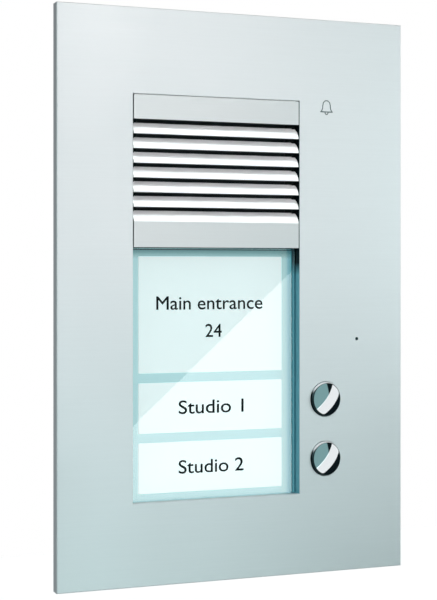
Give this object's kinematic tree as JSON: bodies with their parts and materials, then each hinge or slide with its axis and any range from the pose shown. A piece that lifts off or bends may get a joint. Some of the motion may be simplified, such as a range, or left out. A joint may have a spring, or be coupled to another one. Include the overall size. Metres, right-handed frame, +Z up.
{
  "type": "door intercom panel",
  "caption": "Flat rectangular door station with a louvred speaker grille, backlit name labels, push buttons and a microphone hole, hung on a wall frame.",
  "frame": {"origin": "centre of the wall screw pattern, on the wall face that the wall frame sits against", "axes": "+X right seen from the street, +Y into the wall, +Z up; the front faces -Y"},
  "size_m": [0.16, 0.0416, 0.225],
  "materials": {
    "plate_aluminium": "fine brushed, clear anodised",
    "grille_aluminium": "fine brushed, clear anodised",
    "zinc_steel": "bright zinc plated",
    "black_fleece": "woven, matt",
    "foam": "closed-cell foam",
    "speaker_metal": "satin",
    "soft_rubber": "matt",
    "paper_cone": "pressed paper",
    "magnet_ferrite": "sintered, matt, between zinc-plated plates",
    "clear_acrylic": "clear, polished",
    "label_film": "translucent, printed",
    "light_guide_acrylic": "satin, translucent",
    "tray_plastic": "moulded, translucent grey-blue",
    "board_white": "white solder mask",
    "led_lens": "phosphor lens",
    "button_chrome": "polished",
    "spring_steel": "drawn wire",
    "switch_plunger": "moulded",
    "housing_plastic": "fine spark-eroded texture",
    "switch_black": "moulded",
    "board_green": "green solder mask",
    "felt": "felt",
    "microphone_metal": "drawn can",
    "chip_black": "moulded epoxy",
    "relay_blue": "moulded",
    "capacitor_sleeve": "shrink sleeve",
    "connector_ivory": "moulded nylon",
    "trimmer_blue": "moulded",
    "rotor_white": "moulded",
    "terminal_green": "moulded",
    "lead_red": "PVC insulation",
    "lead_orange": "PVC insulation",
    "lead_yellow": "PVC insulation",
    "frame_steel": "zinc-plated sheet steel"
  },
  "bodies": {
    "panel": {"front_plate": "plate_aluminium", "plate_studs": "zinc_steel", "stud_nuts": "zinc_steel", "plate_standoffs": "zinc_steel", "hanging_hooks": "zinc_steel", "speaker_grille": "grille_aluminium", "grille_screen": "black_fleece", "speaker_gasket": "foam", "speaker_frame": "speaker_metal", "speaker_surround": "soft_rubber", "speaker_cone": "paper_cone", "speaker_dust_cap": "paper_cone", "speaker_magnet": "magnet_ferrite", "speaker_clips": "zinc_steel", "speaker_screws": "zinc_steel", "info_label": "label_film", "name_label_1": "label_film", "name_label_2": "label_film", "light_guide": "light_guide_acrylic", "label_tray": "tray_plastic", "backlight_board": "board_white", "backlight_leds": "led_lens", "button_gasket": "soft_rubber", "button_housing": "housing_plastic", "button_1_spring": "spring_steel", "button_2_spring": "spring_steel", "tact_switches": "switch_black", "button_board": "board_green", "button_board_screws": "zinc_steel", "microphone_felt": "felt", "microphone_boot": "soft_rubber", "microphone_capsule": "microphone_metal", "electronics_housing": "housing_plastic", "housing_screws": "zinc_steel", "main_board": "board_green", "board_screws": "zinc_steel", "processor_chip": "chip_black", "relay": "relay_blue", "capacitors": "capacitor_sleeve", "board_connectors": "connector_ivory", "trimmer_bodies": "trimmer_blue", "terminal_header": "terminal_green", "rear_cover": "housing_plastic", "rear_cover_screws": "zinc_steel", "lead_grommet": "soft_rubber", "speaker_lead": "lead_red", "microphone_lead": "lead_orange", "button_lead": "lead_yellow", "mounting_frame": "frame_steel", "fixing_screws": "zinc_steel", "wall_seal": "soft_rubber"},
    "window": {"label_window": "clear_acrylic"},
    "button_1": {"button_1_cap": "button_chrome", "button_1_plunger": "switch_plunger"},
    "button_2": {"button_2_cap": "button_chrome", "button_2_plunger": "switch_plunger"},
    "volume_trimmer": {"volume_trimmer_rotor": "rotor_white"},
    "microphone_trimmer": {"microphone_trimmer_rotor": "rotor_white"},
    "terminal": {"terminal_plug": "terminal_green", "terminal_clamp_screws": "zinc_steel"}
  },
  "joints": [
    {"name": "button_1_press", "type": "slide", "parent": "panel", "child": "button_1", "axis": [0, 1, 0], "range_m": [0, 0.0008], "stiffness_N_per_m": 600, "springref_m": -0.002, "deforming": ["button_1_spring"]},
    {"name": "button_2_press", "type": "slide", "parent": "panel", "child": "button_2", "axis": [0, 1, 0], "range_m": [0, 0.0008], "stiffness_N_per_m": 600, "springref_m": -0.002, "deforming": ["button_2_spring"]},
    {"name": "window_lift_out", "type": "slide", "parent": "panel", "child": "window", "axis": [0, -1, 0], "range_m": [0, 0.012]},
    {"name": "volume_trimmer_turn", "type": "hinge", "parent": "panel", "child": "volume_trimmer", "pos_m": [0.0113, 0.015, -0.002], "axis": [0, 1, 0], "range_deg": [-135, 135]},
    {"name": "microphone_trimmer_turn", "type": "hinge", "parent": "panel", "child": "microphone_trimmer", "pos_m": [0.0233, 0.015, -0.002], "axis": [0, 1, 0], "range_deg": [-135, 135]},
    {"name": "terminal_pull_off", "type": "slide", "parent": "panel", "child": "terminal", "axis": [0, 1, 0], "range_m": [0, 0.009]}
  ]
}
